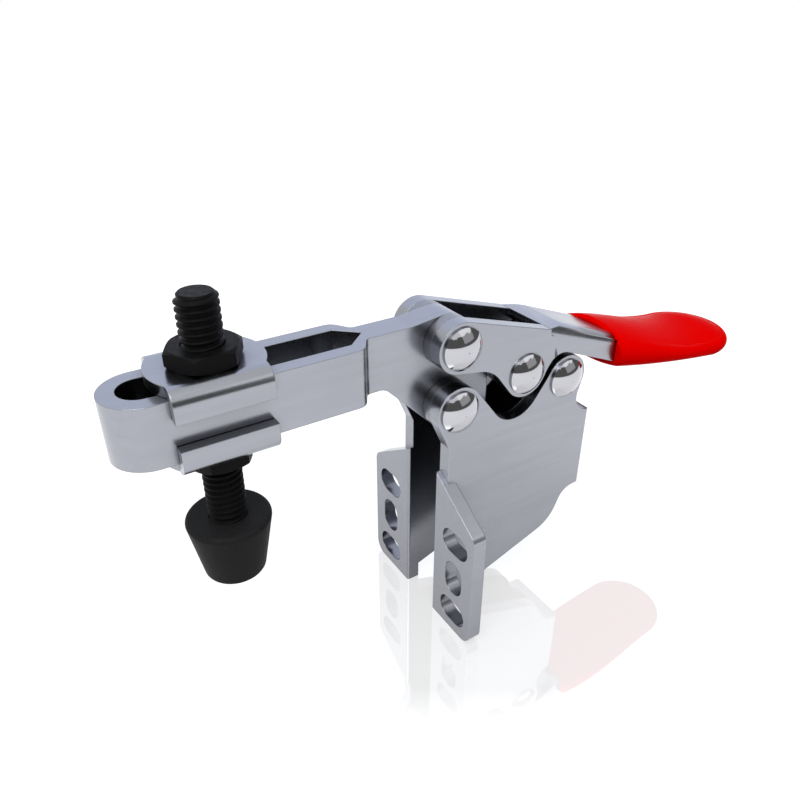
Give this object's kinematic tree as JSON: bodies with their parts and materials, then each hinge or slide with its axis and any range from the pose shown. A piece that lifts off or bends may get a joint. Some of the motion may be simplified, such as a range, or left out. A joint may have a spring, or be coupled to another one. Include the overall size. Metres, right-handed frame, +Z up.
{
  "type": "horizontal-handle toggle clamp",
  "caption": "Hold-down toggle clamp with a slotted U-shaped arm, an adjustable threaded spindle with rubber tip, a sleeved lever handle and a slotted flange base.",
  "frame": {"origin": "centre of the mounting slot pattern, on the front face of the flanges", "axes": "+X from the mounting face back to the handle, +Z up as mounted, +Y to complete the set; the clamp is symmetric about y = 0"},
  "size_m": [0.1684, 0.043, 0.0952],
  "materials": {
    "zinc_sheet": "zinc-plated, satin",
    "polished_rivet": "plated, polished",
    "black_steel": "black oxide, satin",
    "black_rubber": "moulded, satin",
    "red_vinyl": "dipped vinyl, satin gloss"
  },
  "bodies": {
    "base": {"base": "zinc_sheet", "arm_rivet": "polished_rivet", "link_rear_rivet": "polished_rivet", "arm_spacer_left": "zinc_sheet", "arm_spacer_right": "zinc_sheet", "link_rear_spacer_left": "zinc_sheet", "link_rear_spacer_right": "zinc_sheet"},
    "arm": {"arm": "zinc_sheet"},
    "link": {"link": "zinc_sheet"},
    "handle": {"handle": "zinc_sheet", "grip": "red_vinyl", "handle_rivet": "polished_rivet", "link_front_rivet": "polished_rivet", "handle_spacer_left": "zinc_sheet", "handle_spacer_right": "zinc_sheet", "link_front_spacer_left": "zinc_sheet", "link_front_spacer_right": "zinc_sheet"},
    "spindle_lock": {"upper_nut": "black_steel", "lower_nut": "black_steel", "upper_flanged_washer": "zinc_sheet", "lower_flanged_washer": "zinc_sheet"},
    "spindle": {"spindle": "black_steel", "bumper": "black_rubber"}
  },
  "joints": [
    {"name": "arm_pivot", "type": "hinge", "parent": "base", "child": "arm", "pos_m": [0.0037, 0, 0.043], "axis": [0, 1, 0], "range_deg": [0, 80]},
    {"name": "link_pivot", "type": "hinge", "parent": "base", "child": "link", "pos_m": [0.0353, 0, 0.0426], "axis": [0, 1, 0], "range_deg": [0, 86]},
    {"name": "handle_pivot", "type": "hinge", "parent": "link", "child": "handle", "pos_m": [0.0224, 0, 0.0473], "axis": [0, 1, 0], "range_deg": [-142, 0]},
    {"name": "spindle_reach", "type": "slide", "parent": "arm", "child": "spindle_lock", "axis": [1, 0, 0], "range_m": [-0.0115, 0.017]},
    {"name": "spindle_height", "type": "slide", "parent": "spindle_lock", "child": "spindle", "axis": [0, 0, 1], "range_m": [-0.009, 0.013]}
  ],
  "couplings": [
    {"joint": "link_pivot", "follows": "arm_pivot", "ratio": 1.075},
    {"joint": "handle_pivot", "follows": "arm_pivot", "ratio": -1.775}
  ]
}
